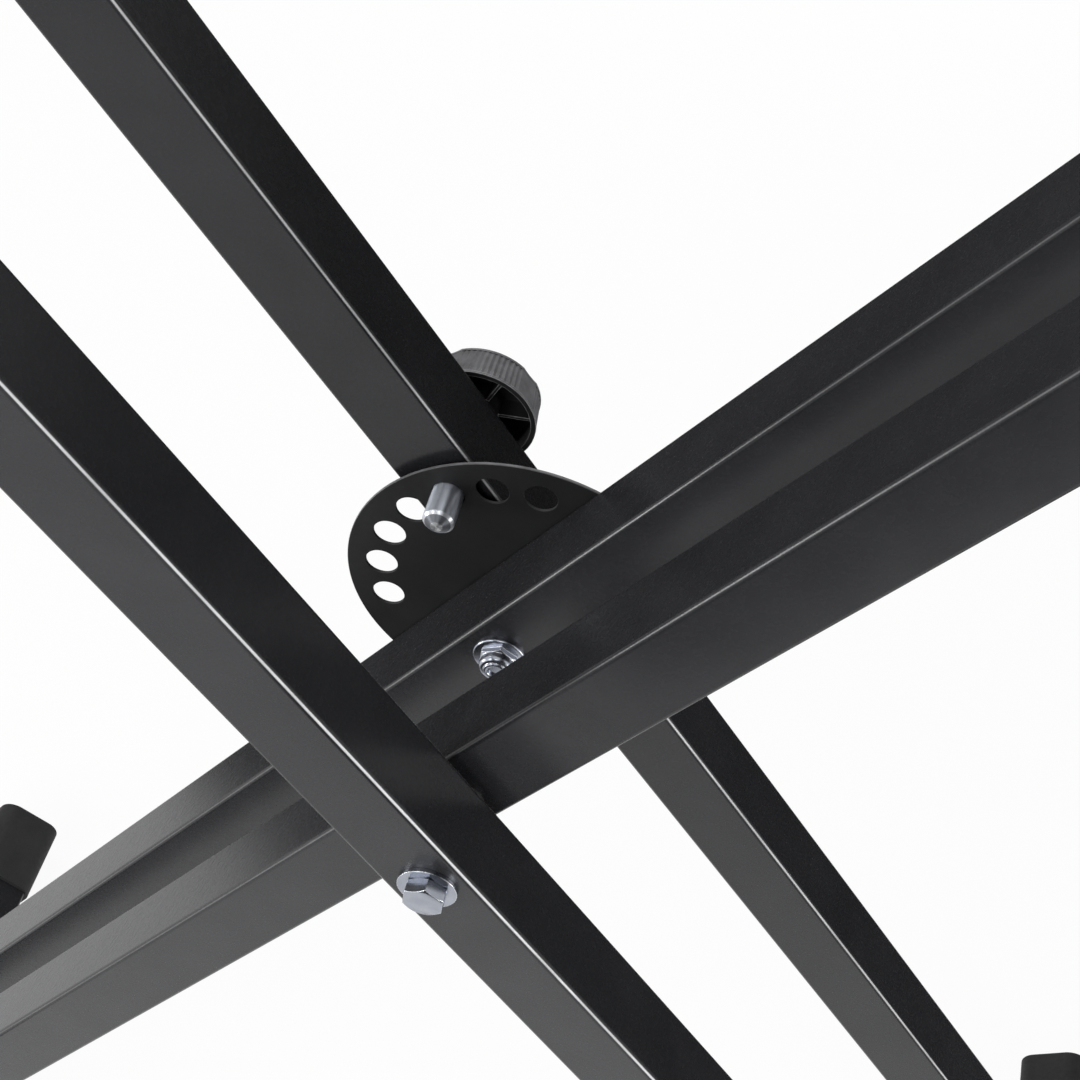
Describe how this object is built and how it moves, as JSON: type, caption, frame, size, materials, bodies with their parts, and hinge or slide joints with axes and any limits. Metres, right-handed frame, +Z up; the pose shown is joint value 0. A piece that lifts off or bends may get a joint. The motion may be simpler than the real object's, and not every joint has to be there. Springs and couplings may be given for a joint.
{
  "type": "keyboard stand",
  "caption": "Double-braced X keyboard stand in black square tube, with a holed locking disc, a spring plunger with a pull knob, foot bars and lipped top bars.",
  "frame": {"origin": "on the floor, under the middle of the pivot axis and of the bars", "axes": "+Z up; +Y along the pivot axis, towards the pull knob; +X across the stand, towards the inner legs' upper end"},
  "size_m": [0.6676, 0.308, 0.9251],
  "materials": {
    "black_coat": "satin black powder coat",
    "disc_coat": "matt black paint",
    "cap_rubber": "matt moulded rubber",
    "zinc": "bright zinc plate",
    "bare_steel": "plain drawn steel",
    "nylon": "moulded black nylon",
    "knob_plastic": "moulded dark grey plastic"
  },
  "bodies": {
    "inner_frame": {"inner_front_leg": "black_coat", "inner_rear_leg": "black_coat", "inner_foot_bar": "black_coat", "inner_top_bar": "black_coat", "inner_foot_cap_rear": "cap_rubber", "inner_foot_cap_front": "cap_rubber", "inner_top_cap_rear": "cap_rubber", "inner_top_cap_front": "cap_rubber", "inner_pivot_sleeves": "bare_steel", "locking_disc": "disc_coat", "pivot_bolts": "zinc", "pivot_nuts": "zinc", "bolt_head_washers": "zinc", "rear_slide_washer": "nylon", "front_leg_spacer": "nylon"},
    "outer_frame": {"outer_front_leg": "black_coat", "outer_rear_leg": "black_coat", "outer_foot_bar": "black_coat", "outer_top_bar": "black_coat", "outer_foot_cap_rear": "cap_rubber", "outer_foot_cap_front": "cap_rubber", "outer_top_cap_rear": "cap_rubber", "outer_top_cap_front": "cap_rubber", "outer_pivot_sleeves": "bare_steel", "plunger_bush": "nylon", "plunger_spring": "bare_steel"},
    "plunger": {"locking_pin": "zinc", "pin_clip": "zinc", "pull_knob": "knob_plastic"}
  },
  "joints": [
    {"name": "leg_fold", "type": "hinge", "parent": "inner_frame", "child": "outer_frame", "pos_m": [0, 0, 0.45726], "axis": [0, 1, 0], "range_deg": [-75.6, 61.4], "deforming": ["locking_pin"]},
    {"name": "plunger_pull", "type": "slide", "parent": "outer_frame", "child": "plunger", "axis": [0, 1, 0], "range_m": [0, 0.0185], "stiffness_N_per_m": 900, "springref_m": -0.01, "deforming": ["plunger_spring"]}
  ]
}
